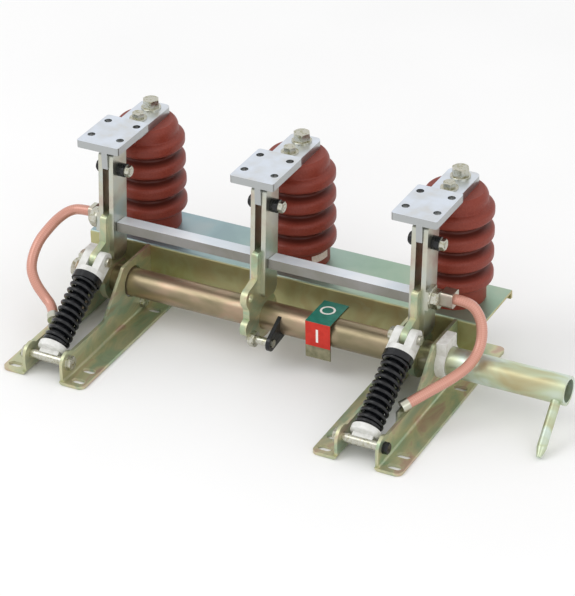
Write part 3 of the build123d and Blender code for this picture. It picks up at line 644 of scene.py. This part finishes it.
# Cast fork: light alloy with a white bloom in patches of 12 mm, slightly grainy at 0.8 mm
cast_alloy, surface, place = new_material("light_alloy_casting")
pit_size = 0.0008
pits = add_node(
    cast_alloy, "ShaderNodeTexNoise", {"Vector": place, "Scale": 1 / pit_size, "Detail": 3.0},
)
_, tint = mottle(cast_alloy, place, size=0.012, stops=((0.35, "#d2d2cd"), (0.65, "#e4e4e1")))
relief = add_node(
    cast_alloy, "ShaderNodeBump",
    {"Height": pits.outputs["Fac"], "Strength": 0.25, "Distance": 0.0003},
)
add_node(cast_alloy, surface, {
    "Base Color": tint, "Metallic": 0.2, "Roughness": 0.45, "Normal": relief.outputs["Normal"],
})
sides = {"left": -1, "right": 1}
for side, hand in sides.items():
    base = foot_pin + Vector((hand * phase_pitch, 0, 0))
    dress([f"{side}_foot_pin", f"{side}_crank_pin"], bright_zinc, edge=0.0005)
    dress([f"{side}_strut_saddle"], nylon, edge=0.0008)
    dress([f"{side}_spring_seat"], nylon)
    dress([f"{side}_fork"], cast_alloy, edge=0.0012)
    free_pitch = (fork_seat - seat_top - closed_rise) / free_coils
    line = []
    for i in range(int(coils * coil_steps) + 1):
        turn = i / coil_steps
        closed = min(turn, 1.0) + max(0.0, turn - coils + 1.0)
        rise = wire_r + closed * closed_pitch * wire_r
        rise += free_pitch * min(max(turn - 1.0, 0.0), free_coils)
        line.append(on_strut(base, seat_top + rise, coil_r, tau * turn))
    coil = solid_of_loops(
        f"{side}_coil_spring", [tube_loops(line, wire_r, wire_sides)], black_steel,
        f"{side}_strut", sharp=60,
    )
    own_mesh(coil)
    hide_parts(f"{side}_spring")
    for piece, (body, profile) in turned_pieces.items():
        rings = [
            [on_strut(base, height, r, tau * k / turned_sides) for k in range(turned_sides)]
            for height, r in profile
        ]
        # Partly painted shade: the tube and sleeve are dressed black and fill the spring, so its
        # inside reads dark as shade
        solid_of_loops(
            f"{side}_{piece}", [rings], black_steel, f"{side}_{body}", sharp=40,
            capped=False,
        )

# Braids
# Copper braids in clear sleeves, from the outer blades to the feet, crimped in plated lugs.
# They carry the fault current past the bearings.
braid_r, braid_sides = 0.0065, 24

# Places along each braid in millimetres: out from the middle of its phase, then back and up
routes = {
    "left": (
        (31.0, 80.0, 133.0), (48.0, 80.0, 133.0), (60.0, 74.5, 130.5), (67.5, 62.0, 125.5),
        (72.0, 46.0, 119.0), (78.5, 24.0, 105.0), (77.0, 3.0, 83.0), (65.0, -6.0, 67.0),
        (50.0, -10.0, 54.0), (36.0, -16.0, 46.5), (28.5, -27.0, 43.0),
    ),
    "right": (
        (41.0, 80.0, 133.0), (54.0, 80.0, 133.0), (65.5, 82.0, 126.5), (76.0, 79.5, 109.5),
        (81.0, 66.0, 88.0), (77.5, 44.0, 73.0), (63.0, 19.0, 63.0), (45.5, -0.4, 53.7),
        (29.0, -21.6, 45.0),
    ),
}

# Copper braid in a clear sleeve: crossing strands 2 mm wide under a glossy skin of soft plastic
braid_copper, surface, place = new_material("copper_braid_in_clear_sleeve")
strands_round, lay_length = 10.0, 0.0050
lay = add_node(braid_copper, "ShaderNodeAttribute", {}, attribute_name="lay")
spot = add_node(braid_copper, "ShaderNodeSeparateXYZ", {"Vector": lay.outputs["Vector"]})
angle = add_node(
    braid_copper, "ShaderNodeMath", {0: spot.outputs["Y"], 1: spot.outputs["X"]},
    operation="ARCTAN2",
)
around = add_node(
    braid_copper, "ShaderNodeMath", {0: angle.outputs[0], 1: strands_round}, operation="MULTIPLY",
)
onward = add_node(
    braid_copper, "ShaderNodeMath", {0: spot.outputs["Z"], 1: tau / lay_length},
    operation="MULTIPLY",
)
waves = []
for crossing in ("ADD", "SUBTRACT"):
    slant = add_node(
        braid_copper, "ShaderNodeMath", {0: around.outputs[0], 1: onward.outputs[0]},
        operation=crossing,
    )
    waves.append(add_node(braid_copper, "ShaderNodeMath", {0: slant.outputs[0]}, operation="SINE"))
weave = add_node(
    braid_copper, "ShaderNodeMath", {0: waves[0].outputs[0], 1: waves[1].outputs[0]},
    operation="MULTIPLY",
)
strand = add_node(
    braid_copper, "ShaderNodeMapRange", {"Value": weave.outputs[0], "From Min": -1.0},
).outputs["Result"]
tint = add_node(
    braid_copper, "ShaderNodeValToRGB", {"Fac": strand},
    stops=((0.15, "#c78875"), (0.50, "#cc907d"), (0.85, "#d19987")),
)
relief = add_node(
    braid_copper, "ShaderNodeBump", {"Height": strand, "Strength": 0.06, "Distance": 0.0003},
)
add_node(braid_copper, surface, {
    "Base Color": tint.outputs["Color"], "Metallic": 0.35, "Roughness": 0.45,
    "Coat Weight": 0.8, "Coat Roughness": 0.12, "Normal": relief.outputs["Normal"],
})
dress(["left_upper_lug", "right_upper_lug"], blade_silver, edge=0.0008)
dress(["left_lower_lug", "right_lower_lug"], blade_silver, edge=0.0005)
for side, hand in sides.items():
    route = [
        Vector((hand * (phase_pitch + x / 1000), y / 1000, z / 1000)) for x, y, z in routes[side]
    ]
    curve = bpy.data.curves.new(f"{side}_route", "CURVE")
    curve.dimensions, curve.resolution_u = "3D", 16
    spline = curve.splines.new("NURBS")
    spline.points.add(len(route) - 1)
    for knot, point in zip(spline.points, route):
        knot.co = (*point, 1)
    spline.order_u = 3
    spline.use_endpoint_u = True
    holder = bpy.data.objects.new(f"{side}_route", curve)
    polyline = bpy.data.meshes.new_from_object(holder)
    line = [v.co.copy() for v in polyline.vertices]
    bpy.data.objects.remove(holder)
    bpy.data.curves.remove(curve)
    bpy.data.meshes.remove(polyline)
    run = [0.0]
    for a, b in zip(line, line[1:]):
        run.append(run[-1] + (b - a).length)
    braid = solid_of_loops(
        f"{side}_braid_cord", [tube_loops(line, braid_r, braid_sides)], braid_copper,
        None, sharp=60,
    )
    marks = braid.data.attributes.new("lay", "FLOAT_VECTOR", "POINT")
    for i, mark in enumerate(marks.data):
        row, k = divmod(i, braid_sides)
        turn = tau * k / braid_sides
        mark.vector = (cos(turn), sin(turn), run[row])
    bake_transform(braid)
    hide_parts(f"{side}_braid")

# Fasteners on the feet, struts and shaft
# Hex bolts and nuts: the heads of the foot pins and fork pins, the big nuts of the braid lugs,
# the bolt in the left end of the shaft and one in the left inner foot.
foot_head, black_foot_head = (0.016, 0.0055, 0.0095, 0.0012), (0.0125, 0.0055, 0.0074, 0.0012)
fork_head, lug_nut = (0.016, 0.0060, 0.0095, 0.0010), (0.022, 0.0090, 0.0135, 0.0020)
end_bolt, foot_bolt = (0.022, 0.0080, 0.0160, 0.0025), (0.013, 0.0050, 0.0080, 0.0012)
foot_head_x, fork_head_x, lug_nut_x = 0.028, 0.0146, 0.0143
fork_pin_yz, lug_stud_yz = (0.035, 0.095), (0.0735, 0.1315)
shaft_end_x, foot_bolt_seat = -0.256, (-0.182, 0.092, 0.0130)
for side, hand in sides.items():
    x = hand * phase_pitch
    for out in (-1, 1):
        name = f"{side}_foot_pin_{'outer' if out == hand else 'inner'}"
        black = side == "right" and out == 1
        size, finish = (black_foot_head, black_steel) if black else (foot_head, bright_zinc)
        seat = (x + out * foot_head_x, foot_pin.y, foot_pin.z)
        hex_fastener(name, seat, (out, 0, 0), size, finish, "frame")
    seat = (x - fork_head_x, *fork_pin_yz)
    hex_fastener(f"{side}_fork_pin_head", seat, (-1, 0, 0), fork_head, bright_zinc, "shaft")
    seat = (x + hand * lug_nut_x, *lug_stud_yz)
    hex_fastener(f"{side}_lug_nut", seat, (hand, 0, 0), lug_nut, bright_zinc, "shaft")
seat = (shaft_end_x, shaft_y, shaft_z)
hex_fastener("shaft_end_bolt", seat, (-1, 0, 0), end_bolt, bright_zinc, "shaft")
hex_fastener("left_foot_bolt", foot_bolt_seat, (1, 0, 0), foot_bolt, bright_zinc, "frame")

# Pale floor, soft studio light and the camera of the photograph
# None of this belongs to the object: a wide pale floor, a large lamp above on the left and a weaker
# one opposite, and a camera that was fitted to the photograph.
floor_half, floor_cells, floor_z = 6.0, 4, -0.0005
floor_paint, surface, place = new_material("pale_floor")
_, shade = mottle(
    floor_paint, place, size=0.5, detail=2.0, stops=((0.3, "#f6f6f6"), (0.7, "#fafafa")),
)
add_node(floor_paint, surface, {
    "Base Color": shade, "Roughness": 0.9, "Specular IOR Level": 0.0,
})
sheet = bmesh.new()
bmesh.ops.create_grid(sheet, x_segments=floor_cells, y_segments=floor_cells, size=floor_half)
mesh = bpy.data.meshes.new("floor")
sheet.to_mesh(mesh)
sheet.free()
mesh.materials.append(floor_paint)
floor = bpy.data.objects.new("floor", mesh)
floor.location = (0, 0, floor_z)
bpy.context.collection.objects.link(floor)

# White room: it lights the object a little less than it shows in the picture and in the metal
world = bpy.data.worlds.new("white_room")
bpy.context.scene.world = world
world.use_nodes = True
sky = world.node_tree.nodes["Background"]
lighting, shown = 0.92, 1.0
rays = add_node(world, "ShaderNodeLightPath", {})
seen = rays.outputs["Is Camera Ray"]
for ray in ("Is Glossy Ray", "Is Transmission Ray"):
    seen = add_node(
        world, "ShaderNodeMath", {0: seen, 1: rays.outputs[ray]}, operation="MAXIMUM",
    ).outputs[0]
level = add_node(world, "ShaderNodeMapRange", {"Value": seen, "To Min": lighting, "To Max": shown})
add_node(world, sky, {"Color": linear("#ffffff"), "Strength": level.outputs["Result"]})

# Lamps: place, size and power, all aimed at the middle of the object
lamps = {"key_lamp": ((-1.6, -1.4, 2.6), 1.6, 20.0), "fill_lamp": ((2.2, -1.2, 1.6), 1.4, 6.0)}
aim = Vector((0, 0.05, 0.12))
for name, (stand, size, power) in lamps.items():
    lamp = bpy.data.lights.new(name, "AREA")
    lamp.size, lamp.energy = size, power
    holder = bpy.data.objects.new(name, lamp)
    holder.location = stand
    holder.rotation_euler = (aim - Vector(stand)).to_track_quat("-Z", "Y").to_euler()
    bpy.context.collection.objects.link(holder)

# Camera: its angles and place as fitted
azimuth, elevation, roll = radians(27.793), radians(30.716), radians(-1.122)
camera_place = (1.3297, -2.3859, 1.7341)
level_x = Vector((cos(azimuth), sin(azimuth), 0))
back = Vector((sin(azimuth) * cos(elevation), -cos(azimuth) * cos(elevation), sin(elevation)))
level_y = back.cross(level_x)
right = cos(roll) * level_x + sin(roll) * level_y
up = cos(roll) * level_y - sin(roll) * level_x
lens = bpy.data.cameras.new("photo_camera")
lens.sensor_fit, lens.sensor_height, lens.lens = "VERTICAL", 36.0, 162.15
lens.clip_end = 50.0
camera = bpy.data.objects.new("photo_camera", lens)
turn = Matrix((right, up, back)).transposed().to_4x4()
camera.matrix_world = Matrix.Translation(camera_place) @ turn
bpy.context.collection.objects.link(camera)
bpy.context.scene.camera = camera
bpy.context.scene.view_settings.view_transform = "Standard"
